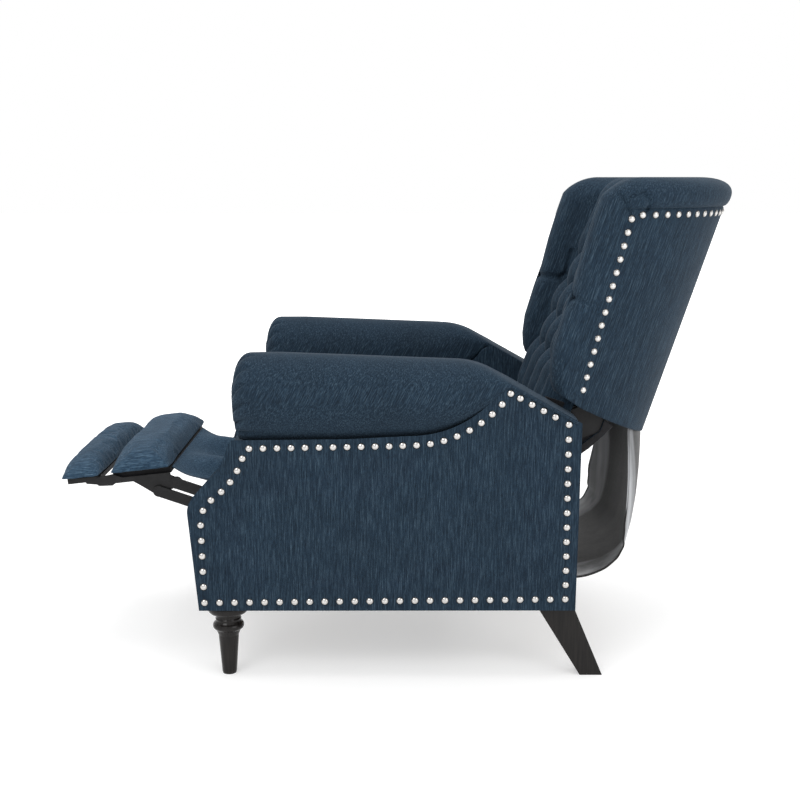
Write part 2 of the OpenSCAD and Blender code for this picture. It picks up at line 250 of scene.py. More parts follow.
def cloth(name, thread, gain=1.0):
    """Navy slub linen whose long threads run along thread. A gain above 1 makes a brighter copy of the same
    cloth, painted light for surfaces that catch more light.
    """
    s = Shader(name)
    thread = Vector(thread).normalized()
    across = thread.orthogonal().normalized()
    third = thread.cross(across)
    slub = s.noise(s.stretched(thread, 0.05), 560, 3.0, 0.7)
    fine = s.noise(s.stretched(thread, 0.12), 1200, 2.0, 0.6)
    cross = s.noise(s.stretched(across + third, 0.12), 1100, 2.0, 0.5)
    cloud = s.noise(s.coords, 9, 3.0, 0.5)
    dark = tuple(gain * c for c in (0.0040, 0.0098, 0.0175))
    mid = tuple(gain * c for c in (0.0088, 0.0200, 0.0345))
    light = tuple(gain * c for c in (0.0330, 0.0560, 0.0790))
    base = s.ramp(slub, [(0.30, dark), (0.50, mid), (0.72, light)])
    threads = s.ramp(fine, [(0.30, (0.60, 0.60, 0.60)), (0.70, (1.45, 1.45, 1.45))])
    shade = s.ramp(cloud, [(0.3, (0.9, 0.9, 0.9)), (0.7, (1.1, 1.1, 1.1))])
    colour = s.mix(1.0, s.mix(1.0, base, threads, "MULTIPLY"), shade, "MULTIPLY")
    weave_scale = 2 * math.pi / 0.0016
    weave = s.maths("MULTIPLY", s.bands(thread, weave_scale), s.bands(across + third * 0.7, weave_scale))
    relief = s.maths("ADD", s.maths("MULTIPLY", slub, 1.2), s.maths("MULTIPLY", weave, 0.18))
    relief = s.maths("ADD", relief, s.maths("MULTIPLY", cross, 0.5))
    rough = s.maths("ADD", s.maths("MULTIPLY", fine, 0.12), 0.80)
    return s.set(Base_Color=colour, Roughness=rough, Normal=s.bump(relief, 0.5, 0.0007),
                 Sheen_Weight=0.06, Sheen_Roughness=0.45, Sheen_Tint=(0.62, 0.78, 0.95, 1),
                 Specular_IOR_Level=0.15)


def metal(name, colour, roughness, rise=None):
    """Brushed metal. rise gives the height above the cloth, and a painted shade darkens the foot of a nail
    head, standing in for its contact shadow and the dark cloth it reflects.
    """
    s = Shader(name)
    wear = s.noise(s.coords, 220.0, 4.0, 0.6)
    scratches = s.noise(s.stretched((0, 1, 0), 0.08), 900, 2.0, 0.5)
    shade = s.ramp(wear, [(0.3, tuple(0.86 * c for c in colour)), (0.7, tuple(1.1 * c for c in colour))])
    if rise is not None:
        share = s.maths("MULTIPLY", rise(s), 1 / NAIL_HEIGHT)
        # Painted shade and painted reflection: the nickel darkens towards the foot of each head, where it
        # meets the cloth.
        ring = s.ramp(share, [(0.20, (0.05, 0.05, 0.05)), (0.45, (0.62, 0.62, 0.62)), (0.80, (1, 1, 1))])
        shade = s.mix(1.0, shade, ring, "MULTIPLY")
    rough = s.maths("ADD", s.maths("MULTIPLY", wear, 0.14), roughness)
    return s.set(Base_Color=shade, Roughness=rough, Metallic=1.0, Normal=s.bump(scratches, 0.06, 0.0004))


def powder_coat(name):
    """Black satin paint on pressed steel, with orange peel and worn spots."""
    s = Shader(name)
    peel = s.noise(s.coords, 700, 2.0, 0.5)
    wear = s.noise(s.coords, 60, 5.0, 0.65)
    colour = s.ramp(wear, [(0.35, (0.0045, 0.0045, 0.005)), (0.72, (0.012, 0.012, 0.013))])
    rough = s.maths("ADD", s.maths("MULTIPLY", wear, 0.2), 0.36)
    return s.set(Base_Color=colour, Roughness=rough, Normal=s.bump(peel, 0.12, 0.0005),
                 Specular_IOR_Level=0.22)


def lacquer(name):
    """Gloss black lacquer over turned wood, with faint grain."""
    s = Shader(name)
    grain = s.noise(s.stretched((0, 0, 1), 0.06), 260, 4.0, 0.6)
    colour = s.ramp(grain, [(0.3, (0.006, 0.0055, 0.0055)), (0.75, (0.016, 0.014, 0.013))])
    rough = s.maths("ADD", s.maths("MULTIPLY", grain, 0.12), 0.17)
    return s.set(Base_Color=colour, Roughness=rough, Normal=s.bump(grain, 0.08, 0.0004),
                 Specular_IOR_Level=0.16, Coat_Weight=0.08, Coat_Roughness=0.08)


def timber(name):
    """Sawn pale wood with its grain along Y."""
    s = Shader(name)
    grain = s.noise(s.stretched((0, 1, 0), 0.04), 150, 5.0, 0.6)
    colour = s.ramp(grain, [(0.3, (0.30, 0.19, 0.10)), (0.7, (0.50, 0.35, 0.20))])
    return s.set(Base_Color=colour, Roughness=0.75, Normal=s.bump(grain, 0.2, 0.0006))


def black_cloth(name):
    """Thin black spunbond cloth with a soft shine and a pressed dot pattern."""
    s = Shader(name)
    dots = s.node("ShaderNodeTexVoronoi", {"Vector": s.coords, "Scale": 520.0}).outputs["Distance"]
    fibre = s.noise(s.coords, 160, 5.0, 0.65)
    colour = s.ramp(fibre, [(0.3, (0.006, 0.006, 0.007)), (0.7, (0.016, 0.016, 0.018))])
    rough = s.maths("ADD", s.maths("MULTIPLY", fibre, 0.16), 0.5)
    return s.set(Base_Color=colour, Roughness=rough, Normal=s.bump(dots, 0.25, 0.0006),
                 Specular_IOR_Level=0.15, Sheen_Weight=0.04, Sheen_Roughness=0.4)


def sling_cloth(name):
    """Black apron cloth whose brightness across it is painted light and shade: lighter in the middle, darkest
    in a strip just inside a pale grey band near each side hem where light catches it, and black at the hem's
    very edge. Painted fold shading runs down its length.
    """
    s = Shader(name)
    fibre = s.noise(s.coords, 160, 5.0, 0.65)
    folds = s.noise(s.stretched((0, 0, 1), 0.12), 22, 3.0, 0.5)
    across = s.maths("ABSOLUTE", s.node("ShaderNodeSeparateXYZ", {0: s.coords}).outputs["X"])
    # Painted light and shade across the apron: lighter middle, dark strip, pale grey band near each hem,
    # black edge.
    colour = s.ramp(s.maths("MULTIPLY", across, 4.0), [
        (0.10, (0.034, 0.034, 0.035)), (0.40, (0.018, 0.018, 0.019)), (0.52, (0.008, 0.008, 0.009)),
        (0.58, (0.012, 0.012, 0.013)), (0.62, (0.16, 0.165, 0.175)), (0.90, (0.34, 0.35, 0.365)),
        (0.916, (0.004, 0.004, 0.004))])
    # Painted fold shading: darker and lighter streaks running down the apron.
    shade = s.ramp(folds, [(0.35, (0.55, 0.55, 0.55)), (0.68, (1.5, 1.5, 1.5))])
    rough = s.maths("ADD", s.maths("MULTIPLY", fibre, 0.2), 0.42)
    return s.set(Base_Color=s.mix(1.0, colour, shade, "MULTIPLY"), Roughness=rough,
                 Normal=s.bump(fibre, 0.25, 0.0008), Specular_IOR_Level=0.3)


CLOTH_UPRIGHT = cloth("cloth_upright", (0, 0.02, 1))
CLOTH_BIAS = cloth("cloth_bias", (0, 0.5, 1))
CLOTH_BACK = cloth("cloth_back", BACK_UP)
# Painted light: the seat takes a copy of the cloth 1.25 times as bright, and the footrest pads and flap one
# 1.9 times as bright, for the light they catch.
CLOTH_LEVEL_PAINTED_LIT = cloth("cloth_level_painted_lit", (0, 1, 0.06), 1.25)
CLOTH_PAD_PAINTED_LIT = cloth("cloth_pad_painted_lit", (0, 1, 0.11), 1.9)
SPRING = metal("spring_wire", (0.30, 0.30, 0.30), 0.35)
STEEL = powder_coat("black_steel")
LACQUER = lacquer("leg_lacquer")
TIMBER = timber("frame_timber")
BLACK = black_cloth("black_cloth")
SLING = sling_cloth("sling_cloth")
BY_SLOT = {
    "upholstery": CLOTH_UPRIGHT, "spring_wire": SPRING, "black_steel": STEEL,
    "leg_lacquer": LACQUER, "frame_timber": TIMBER, "black_cloth": BLACK,
}


def rise_from_arm(s):
    """Height above the side panel, which is upright."""
    across = s.maths("ABSOLUTE", s.node("ShaderNodeSeparateXYZ", {0: s.coords}).outputs["X"])
    return s.maths("SUBTRACT", across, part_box("arm_nails_left")[0].x)


def rise_from_back(s):
    """Height above the round outside of the back, measured from the axis of its barrel."""
    middle = Vector((0, *back_side(BARREL_V, 0)))
    from_axis = s.node("ShaderNodeVectorMath", {0: s.coords, 1: middle}, operation="SUBTRACT").outputs[0]
    along = s.node("ShaderNodeVectorMath", {0: from_axis, 1: Vector(BACK_UP)}, operation="DOT_PRODUCT")
    up = s.node("ShaderNodeVectorMath", {0: Vector(BACK_UP), "Scale": along.outputs["Value"]},
                operation="SCALE").outputs[0]
    outward = s.node("ShaderNodeVectorMath", {0: from_axis, 1: up}, operation="SUBTRACT").outputs[0]
    radius = s.node("ShaderNodeVectorMath", {0: outward}, operation="LENGTH").outputs["Value"]
    return s.maths("SUBTRACT", radius, BARREL_R)


def dress_cad_nodes():
    """Give every CAD node the material of its slot, and the nails their own nickel with a painted shade round
    the foot of each head.
    """
    nails = {
        "arm_nails_left": rise_from_arm, "arm_nails_right": rise_from_arm, "back_nails": rise_from_back}
    for part in frame["record"]["subparts"]:
        name = part["node"]
        if name in nails:
            material = metal("nickel_" + name, (0.58, 0.565, 0.55), 0.12, rise=nails[name])
        else:
            material = BY_SLOT[part["material_slot"]]
        obj = frame["nodes"][name]
        obj.data.materials.clear()
        obj.data.materials.append(material)
        for slot in obj.material_slots:
            slot.material = material


# ---------------------------------------------------------------- stage

CAMERA_PLACE = Vector((2.541, 0.0, 0.943))
CAMERA_PITCH = 10.25
CAMERA_LENS = 55.35
FLOOR_HALF = 30


def add_area(name, place_at, aim, size, power):
    light = bpy.data.lights.new(name, "AREA")
    light.shape = "RECTANGLE"
    light.size, light.size_y = size
    light.energy = power
    obj = bpy.data.objects.new(name, light)
    obj.location = place_at
    obj.rotation_mode = "QUATERNION"
    obj.rotation_quaternion = (Vector(aim) - Vector(place_at)).to_track_quat("-Z", "Y")
    bpy.context.scene.collection.objects.link(obj)


def build_stage():
    camera = bpy.data.objects.new("camera", bpy.data.cameras.new("camera"))
    camera.data.lens = CAMERA_LENS
    camera.data.sensor_width = 36
    camera.location = CAMERA_PLACE
    camera.rotation_euler = (math.radians(90 - CAMERA_PITCH), 0, math.radians(90))
    bpy.context.scene.collection.objects.link(camera)
    bpy.context.scene.camera = camera
    corners = [(x * FLOOR_HALF, y * FLOOR_HALF, 0) for x, y in ((-1, -1), (1, -1), (1, 1), (-1, 1))]
    s = Shader("floor")
    cloud = s.noise(s.coords, 0.6, 2.0, 0.5)
    colour = s.ramp(cloud, [(0.3, (0.60, 0.60, 0.60)), (0.7, (0.62, 0.62, 0.62))])
    distance = s.node("ShaderNodeVectorMath", {0: s.coords}, operation="LENGTH").outputs["Value"]
    far = s.ramp(s.maths("MULTIPLY", distance, 0.1), [(0.10, (0.42, 0.42, 0.42)), (0.35, (1, 1, 1))])
    surface = s.set(Base_Color=colour, Roughness=0.6, Emission_Color=far, Emission_Strength=1.0)
    floor = make("floor", corners, [(0, 1, 2, 3)], surface, shade=False)
    world = bpy.data.worlds.new("studio")
    bpy.context.scene.world = world
    world.use_nodes = True
    world.node_tree.nodes["Background"].inputs["Color"].default_value = (1, 1, 1, 1)
    world.node_tree.nodes["Background"].inputs["Strength"].default_value = 1.0
    add_area("key", (2.6, -1.6, 2.9), (0, 0, 0.5), (1.6, 1.6), 42)
    add_area("fill", (2.2, 2.2, 1.6), (0, 0.3, 0.6), (1.6, 1.6), 18)
    add_area("top", (0.0, 0.0, 3.4), (0, 0, 0), (2.4, 2.4), 45)
    bpy.context.scene.view_settings.view_transform = "Standard"


# ---------------------------------------------------------------- arms

ROLL_LOW, ROLL_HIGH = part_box("arm_roll_left")
ROLL_EDGE = 0.032
PLEATS = 15
PLEAT_DEPTH = 0.0085
PANEL_FOOT = 0.147

# Side view outline of the arm's front edge, from its foot to the roll
FRONT_CURVE = np.concatenate([
    [[-377, PANEL_FOOT / MM]],
    arc([-348, 329], 40, 180, 140, 8),
    arc([-433.5, 479.5], 125, -50, -9, 14)]) * MM
RISE_CENTRE, RISE_RADIUS = np.array([20, 678]) * MM, 209 * MM
PEAK, REAR_TOP = np.array([203, 565]) * MM, np.array([327, 497]) * MM


def arm_panel_top(y):
    """Height of the line where the side panel meets the roll."""
    y = np.asarray(y, float)
    inside = np.clip(RISE_RADIUS ** 2 - np.clip(y - RISE_CENTRE[0], 0, 0.175) ** 2, 0, None)
    rise = RISE_CENTRE[1] - np.sqrt(inside)
    front = np.interp(y, [-0.29, -0.1, 0.02], [0.461, 0.463, RISE_CENTRE[1] - RISE_RADIUS])
    slope = PEAK[1] + (y - PEAK[0]) * (REAR_TOP[1] - PEAK[1]) / (REAR_TOP[0] - PEAK[0])
    low = np.where(y < RISE_CENTRE[0], front, rise)
    return np.where(y > 0.199, slope, low)


def arm_roll_top(y):
    """Height of the roll's top line."""
    y = np.asarray(y, float)
    flat = np.interp(y, [-0.30, -0.22, -0.1, 0.0, 0.095], [0.6262, 0.6265, 0.622, 0.618, 0.6145])
    bend = 0.464 + np.sqrt(np.clip(0.15 ** 2 - np.clip(y - 0.095, 0, 0.075) ** 2, 0, None))
    slope = 0.594 - (y - 0.170) * 0.5774
    return np.where(y < 0.095, flat, np.where(y < 0.170, bend, slope))


def arm_cover(name, side):
    """Side panel, front facing and inner face in one skin with soft edges."""
    ys = np.linspace(-0.288, PEAK[0], 40)
    outline = np.concatenate([
        FRONT_CURVE, np.stack([ys, arm_panel_top(ys) - 0.001], 1)[1:], [REAR_TOP],
        [[REAR_TOP[0], PANEL_FOOT]]])
    count = len(outline)
    before, after = np.roll(outline, 1, 0), np.roll(outline, -1, 0)
    tangent = after - before
    normal = np.stack([tangent[:, 1], -tangent[:, 0]], 1)
    normal /= np.linalg.norm(normal, axis=1)[:, None]
    steps = [(0.236, 0.004), (0.238, 0.0012), (0.242, 0), (0.270, 0), (0.300, 0), (0.3235, 0),
             (0.3275, 0.0012), (0.3297, 0.004), (0.3300, 0.008)]
    rings = []
    for x, inset in steps:
        rings.append(np.column_stack([np.full(count, x), outline - normal * inset]))
    points = np.array(rings)
    vertices = list(mirrored(points.reshape(-1, 3), side))
    faces = []
    for i in range(len(steps) - 1):
        for j in range(count):
            k = (j + 1) % count
            quad = (i * count + j, i * count + k, (i + 1) * count + k, (i + 1) * count + j)
            faces.append(quad if side > 0 else quad[::-1])
    inner = list(range(count))
    outer = [(len(steps) - 1) * count + j for j in range(count)]
    faces.append(inner[::-1] if side > 0 else inner)
    faces.append(outer if side > 0 else outer[::-1])
    obj = make(name, vertices, faces, CLOTH_UPRIGHT)
    add_modifier(obj, "TRIANGULATE", min_vertices=5)
    add_modifier(obj, "WEIGHTED_NORMAL", keep_sharp=True)
    return obj


def arm_roll(name, side):
    """The big arm roll: a loft along Y, gathered into pleats round its front end."""
    around = 96
    psi = np.linspace(0, 2 * math.pi, around, endpoint=False)
    stations = []
    for ring in np.linspace(0.12, 0.95, 8):
        stations.append((ROLL_LOW.y - 0.004 * (1 - ring ** 2), ring, True))
    for angle in np.radians(np.linspace(0, 90, 9)):
        stations.append((ROLL_LOW.y + ROLL_EDGE * (1 - math.cos(angle)), math.sin(angle), False))
    for y in np.linspace(ROLL_LOW.y + ROLL_EDGE, 0.328, 64)[1:]:
        stations.append((y, 1.0, False))
    rows = []
    for y, amount, flat in stations:
        body_y = max(y, ROLL_LOW.y + ROLL_EDGE)
        low = float(arm_panel_top(body_y)) - 0.002
        high = float(arm_roll_top(body_y))
        narrow = float(smooth(0.07, 0.20, body_y))
        x_out = ROLL_HIGH.x - 0.0215 * narrow
        x_in = ROLL_LOW.x
        half_x, half_z = (x_out - x_in) / 2, (high - low) / 2
        cos, sin = np.cos(psi), np.sin(psi)
        power = 0.86 - 0.30 * narrow
        x = np.sign(cos) * np.abs(cos) ** power
        z = np.sign(sin) * np.abs(sin) ** power
        x = x * half_x - 0.020 * smooth(0.1, -1, z) * smooth(-0.2, 1, x) * (1 - narrow)
        z = z * half_z
        if flat:
            x, z = x * amount * (half_x - ROLL_EDGE) / half_x, z * amount * (half_z - ROLL_EDGE) / half_z
            drop = ROLL_EDGE * amount ** 3
        else:
            x = x * (half_x - ROLL_EDGE + ROLL_EDGE * amount) / half_x
            z = z * (half_z - ROLL_EDGE + ROLL_EDGE * amount) / half_z
            drop = ROLL_EDGE * (1 - amount)
        reach = smooth(0.055, 0.0, y - ROLL_LOW.y)
        folds = np.abs(np.sin(psi * PLEATS / 2 + 0.35 * np.sin(3 * psi)))
        pinch = PLEAT_DEPTH * reach * (1 - folds) ** 3
        radius = np.hypot(x, z) + 1e-6
        if not flat:
            x, z = x * (1 - pinch / radius), z * (1 - pinch / radius)
        y_row = y + pinch * (amount if flat else 1) * 1.2
        lean = 0.010 * smooth(0.02, -1, z / half_z) * smooth(0.08, 0, y - ROLL_LOW.y)
        row = np.column_stack([(x_in + x_out) / 2 + x, y_row + lean, (low + high) / 2 - 0.8 * drop + z])
        rows.append(row)
    points = mirrored(np.array(rows), side)
    return grid(name, points, CLOTH_BIAS, loop_v=True, close_u=True, flip=side > 0)


def build_arms():
    for word, side in SIDES.items():
        cover = arm_cover(f"arm_cover_{word}", side)
        place(cover, "base", "upholstery", f"arm_outer_panel_{word}", f"arm_inner_panel_{word}",
              f"arm_facing_{word}")
        roll = arm_roll(f"arm_pad_{word}", side)
        place(roll, "base", "upholstery", f"arm_roll_{word}")


# ---------------------------------------------------------------- back

RIM_Z, TOP_Z = 0.884, 0.944
HEM_REAR, HEM_SLOPE = np.array([0.503, 0.431]), 0.5253


def w_hem(v):
    """How far up the back its lower hem lies at v."""
    level = HEM_REAR[1] + HEM_SLOPE * (HEM_REAR[0] - FOOT[0])
    return (level - FOOT[1] + v * (S - HEM_SLOPE * C)) / (C + HEM_SLOPE * S)


EDGE_W = np.array([0.10, 0.143, 0.165, 0.19, 0.23, 0.30, 0.324, 0.348, 0.411, 0.48, 0.60])
EDGE_V = np.array([0.0, -0.020, -0.036, -0.046, -0.054, -0.056, -0.052, -0.055, -0.060, -0.062, -0.060])
FRONT_V = -0.060
SHELL_UP = 100
ROLL_POWER = 0.85
WING_T, REAR_T = 0.062, 0.140
THETA_FRONT = math.radians(11.5)
SIDE_SWEEP = np.linspace(THETA_FRONT, math.radians(32), 64)
REAR_SWEEP = np.linspace(math.radians(33), math.radians(147), 110)
FRONT_TO_FRONT = np.concatenate([SIDE_SWEEP, REAR_SWEEP, math.pi - SIDE_SWEEP[::-1]])

# Side view places (v, w) of the creases on the wings' inner faces and the gathers at their top corners
WING_BUTTON = np.array([0.004, 0.338])
WING_CREASES = [((-0.058, 0.326), (0.004, 0.338)), ((0.004, 0.338), (0.06, 0.43)),
                ((0.004, 0.338), (0.055, 0.225)), ((0.004, 0.338), (0.0, 0.40)),
                ((0.06, 0.43), (0.02, 0.47)), ((0.055, 0.225), (-0.01, 0.17))]
CORNER_GATHERS = [((-0.027, 0.530), (0.0005, 0.503)), ((-0.0095, 0.532), (0.011, 0.545)),
                  ((0.011, 0.545), (0.027, 0.538)), ((0.027, 0.538), (0.029, 0.520)),
                  ((0.029, 0.520), (0.022, 0.508))]

# Rows of buttons, and the tufted face between them
ROW_W = [0.440, 0.370, 0.300, 0.230, 0.160]
PITCH_X, PITCH_W = 0.096, 0.140
TUFT = 0.036
FACE_HALF, FACE_TOP_W, FACE_CROWN = 0.2365, 0.525, 0.045


def shell_section(theta, thick, forward, squeeze):
    """One vertical loop of the wing and outside back, at a place along its plan curve."""
    cos, sin = math.cos(theta), math.sin(theta)
    mid_r = BARREL_R - thick / 2
    centre = np.array([mid_r * cos, BARREL_V + mid_r * sin]) + forward * np.array([sin, -cos])
    outward = np.array([cos, sin])
    half = thick / 2 * squeeze
    loop = []
    v_out = centre[1] + half * sin
    v_in = centre[1] - half * sin
    corner = 0.058 * (1 - np.sqrt(np.clip(1 - np.clip((0.004 - centre[1]) / 0.064, 0, 1) ** 2, 0, 1)))
    top = w_at_level(centre[1], TOP_Z) - corner
    rim_out = min(w_at_level(v_out, RIM_Z), top - 0.012)
    rim_in = min(w_at_level(v_in, RIM_Z), top - 0.012)
    hem_out, hem_in = w_hem(v_out), w_hem(v_in)
    rolled = float(smooth(-0.035, 0.025, centre[1]))
    tuck = 0.004 * squeeze * rolled
    for t in np.linspace(0, 1, SHELL_UP):
        loop.append((half, hem_out + (rim_out - hem_out) * t))
    loop.append((half - tuck, rim_out + 0.003))
    lift = 0.006 + 0.016 * rolled
    bulge = half + 0.006 * squeeze * rolled
    for turn in np.radians([-75, -55, -35, -18]):
        n = half - tuck + (bulge - half + tuck) * math.cos(turn)
        loop.append((n, rim_out + 0.003 + (lift - 0.003) * (1 + math.sin(turn))))
    for phi in np.linspace(0, math.pi, 37):
        base = rim_out + (rim_in - rim_out) * (1 - math.cos(phi)) / 2 + lift
        n = math.copysign(abs(math.cos(phi)) ** ROLL_POWER, math.cos(phi)) * bulge
        level_top = top + n * sin * S / C
        loop.append((n, base + (level_top - base) * max(math.sin(phi), 0) ** ROLL_POWER))
    for t in np.linspace(0, 1, SHELL_UP):
        loop.append((-half, rim_in + (hem_in - rim_in) * t))
    loop.append((0.0, (hem_in + hem_out) / 2))
    loop = np.array(loop)
    x = centre[0] + loop[:, 0] * outward[0]
    v = centre[1] + loop[:, 0] * outward[1]
    w = loop[:, 1]
    share = smooth(0.05, -0.06, v)
    v = v + share * (np.interp(w, EDGE_W, EDGE_V) - FRONT_V)
    return x, v, w, loop[:, 0]


def back_shell(name):
    """Both wings, the outside back and the top roll in one closed skin."""
    stations = [(THETA_FRONT, angle, 1) for angle in np.linspace(90, 6, 15)]
    stations += [(theta, 0, 0) for theta in FRONT_TO_FRONT]
    stations += [(math.pi - THETA_FRONT, angle, -1) for angle in np.linspace(6, 90, 15)]
    rows = []
    for theta, angle, end in stations:
        spread = smooth(THETA_FRONT, math.radians(80), min(theta, math.pi - theta))
        thick = WING_T + (REAR_T - WING_T) * float(spread)
        turn = math.radians(angle)
        forward = thick / 2 * math.sin(turn)
        squeeze = max(math.cos(turn), 0.02)
        if end < 0:
            x, v, w, n = shell_section(math.pi - theta, thick, forward, squeeze)
            x = -x
        else:
            flip = theta > math.pi / 2
            x, v, w, n = shell_section(math.pi - theta if flip else theta, thick, forward, squeeze)
            x = -x if flip else x
        x, v = shell_folds(x, v, w, n)
        rows.append(from_back(x, v, w))
    return grid(name, np.array(rows), CLOTH_BACK, loop_v=True, close_u=True)


def shell_folds(x, v, w, n):
    """Tuft creases on the wings' front edges and inner faces, and gathers at their top corners."""
    side = np.sign(x) + (x == 0)
    edge = smooth(0.02, -0.05, v)
    v = v + 0.0045 * crease(w - 0.327, 0.005) * edge
    inner = (n < 0) * smooth(0.16, 0.10, v)
    plane = np.stack([v, w], -1)
    depth = 0
    for a, b in WING_CREASES:
        depth = depth + 0.007 * crease(to_segment(plane, a, b), 0.006)
    depth = depth + 0.012 * crease(to_segment(plane, WING_BUTTON, WING_BUTTON + np.array([1e-4, 0])), 0.012)
    x = x + side * inner * np.minimum(depth, 0.014)
    outer = (n > 0) * smooth(0.47, 0.50, w)
    gather = 0
    for a, b in CORNER_GATHERS:
        gather = gather + 0.006 * crease(to_segment(plane, a, b), 0.0035)
    x = x - side * outer * np.minimum(gather, 0.006)
    seam = 0.002 * crease(to_segment(plane, (-0.060, 0.327), (-0.012, 0.3255)), 0.003)
    return x - side * (n > 0) * seam, v


def cushion_v(w):
    """The crown of the inside back, before it is tufted."""
    ups = [0.03, 0.11, 0.16, 0.30, 0.44, 0.52]
    return np.interp(w, ups, [-0.018, -0.030, -0.028, -0.013, 0.002, 0.010])


def tuft(x, w):
    """How far the tufted face lies behind its crown: diamonds between buttons, pleats above and below."""
    top, low = ROW_W[0], ROW_W[-1]
    inside = np.clip(w, low, top)
    p = (x - PITCH_X / 2) / PITCH_X + (inside - top) / PITCH_W
    q = (x - PITCH_X / 2) / PITCH_X - (inside - top) / PITCH_W
    puff = np.abs(np.sin(math.pi * p)) * np.abs(np.sin(math.pi * q))
    depth = TUFT * (1 - np.clip(puff, 0, 1) ** 0.38)
    beyond = np.abs(w - inside)
    depth = depth * (1 - 0.25 * smooth(0.02, 0.10, beyond))
    return depth


def button_places():
    """Places (x, w) of the buttons, in rows of 4 and 3 by turns."""
    for row, w in enumerate(ROW_W):
        count = 3 if row % 2 else 4
        for i in range(count):
            yield (i - (count - 1) / 2) * PITCH_X, w


def back_face(name):
    """The tufted inside back, from the seat up over the top of the back."""
    xs = np.linspace(-FACE_HALF, FACE_HALF, 190)
    side_fall = 0.030 * smooth(0.19, FACE_HALF, np.abs(xs)) ** 1.5
    rows = []
    for w in np.linspace(0.035, FACE_TOP_W, 200):
        v = cushion_v(w) + tuft(xs, w) + side_fall
        for bx, bw in button_places():
            v = v + 0.007 * crease(np.hypot(xs - bx, w - bw), 0.013)
        rows.append(from_back(xs, v, np.full_like(xs, w)))
    last_v = cushion_v(FACE_TOP_W) + tuft(xs, FACE_TOP_W) + side_fall
    crest_v = cushion_v(FACE_TOP_W) + FACE_CROWN
    crest_w = w_at_level(crest_v, TOP_Z - 0.004)
    for angle in np.radians(np.linspace(8, 90, 12)):
        fade = math.cos(angle)
        v = last_v * fade + cushion_v(FACE_TOP_W) * (1 - fade) + FACE_CROWN * (1 - fade)
        rows.append(from_back(xs, v, FACE_TOP_W + (crest_w - FACE_TOP_W) * math.sin(angle) + 0 * xs))
    for step in (0.02, 0.045, 0.075):
        v = crest_v + step + 0 * xs
        fit = min(1, math.sqrt(0.262 ** 2 - (v[0] - BARREL_V) ** 2) / FACE_HALF)
        rows.append(from_back(xs * fit, v, w_at_level(v, TOP_Z - 0.008 - step * 0.2)))
    for v, w in ((0.10, 0.45), (0.095, 0.10), (0.05, 0.035)):
        rows.append(from_back(xs, np.full_like(xs, v), np.full_like(xs, w)))
    return grid(name, np.array(rows), CLOTH_BACK, loop_u=True, flip=True)


def buttons(name):
    """Cloth-covered buttons, each a flattened dome with a rolled rim."""
    vertices, faces = [], []
    rings, around = 6, 24
    for bx, bw in button_places():
        start = len(vertices)
        base_v = float(cushion_v(bw)) + TUFT + 0.001
        for ring in range(rings + 1):
            t = ring / rings * math.pi / 2
            for k in range(around):
                a = 2 * math.pi * k / around
                r = 0.0115 * math.cos(t) ** 0.7 if ring < rings else 0.0004
                vertices.append(from_back(bx + r * math.cos(a), base_v - 0.008 * math.sin(t),
                                          bw + r * math.sin(a)))
        for ring in range(rings):
            for k in range(around):
                m = (k + 1) % around
                a, b = start + ring * around, start + (ring + 1) * around
                faces.append((a + k, a + m, b + m, b + k))
        faces.append(tuple(start + k for k in range(around))[::-1])
        last = start + rings * around
        faces.append(tuple(last + k for k in range(around)))
    return make(name, vertices, faces, CLOTH_BACK)


def build_back():
    shell = back_shell("back_shell")
    place(shell, "back", "upholstery", "outside_back", "back_wing_left", "back_wing_right", "back_top_roll")
    face = back_face("tufted_back")
    place(face, "back", "upholstery", "back_cushion")
    place(buttons("tuft_buttons"), "back", "upholstery", "back_buttons")


# ---------------------------------------------------------------- seat and footrest

def keep_evaluated(obj):
    """Turn the object's modifiers into its mesh."""
    graph = bpy.context.evaluated_depsgraph_get()
    mesh = bpy.data.meshes.new_from_object(obj.evaluated_get(graph), depsgraph=graph)
    obj.modifiers.clear()
    obj.data = mesh


def coordinates(mesh):
    flat = np.empty(3 * len(mesh.vertices))
    mesh.vertices.foreach_get("co", flat)
    return flat.reshape(-1, 3)


CLOTH_FRAMES = 20
CLOTH_SLACK = 0.02
SWELL_LIMIT = 0.004
PAD_SLOPE = math.radians(6.5)
MAIN_PAD_REAR, OUTER_PAD_REAR = (-0.445, 0.388), (-0.582, 0.3706)
PAD_EDGE = 0.006


def blow_up(obj, held, cell=0.0055):
    """Let the cover swell over its filling in a short cloth run, held where held(points) says."""
    scene = bpy.context.scene
    add_modifier(obj, "REMESH", mode="VOXEL", voxel_size=cell, use_smooth_shade=True)
    keep_evaluated(obj)
    start = coordinates(obj.data)
    normals = np.empty(start.size)
    obj.data.vertices.foreach_get("normal", normals)
    begin = start - 0.0015 * normals.reshape(-1, 3)
    obj.data.vertices.foreach_set("co", begin.ravel())
    group = obj.vertex_groups.new(name="held")
    group.add([int(i) for i in np.flatnonzero(held(start))], 1.0, "REPLACE")
    cover = obj.modifiers.new("cover", "CLOTH")
    settings = cover.settings
    settings.quality = 6
    settings.mass = 0.25
    settings.tension_stiffness = settings.compression_stiffness = 18
    settings.bending_stiffness = 0.4
    settings.use_pressure = True
    settings.uniform_pressure_force = 4
    settings.shrink_min = -CLOTH_SLACK
    settings.vertex_group_mass = "held"
    settings.effector_weights.gravity = 0
    cover.point_cache.frame_start, cover.point_cache.frame_end = 1, CLOTH_FRAMES
    for step in range(1, CLOTH_FRAMES + 1):
        scene.frame_set(step)
    keep_evaluated(obj)
    moved = coordinates(obj.data) - start
    length = np.linalg.norm(moved, axis=1)
    moved *= np.minimum(1, SWELL_LIMIT / np.maximum(length, 1e-9))[:, None]
    obj.data.vertices.foreach_set("co", (start + moved).ravel())
    obj.data.update()
    scene.frame_set(1)
    obj.vertex_groups.clear()
    add_modifier(obj, "SUBSURF", levels=1, render_levels=1)


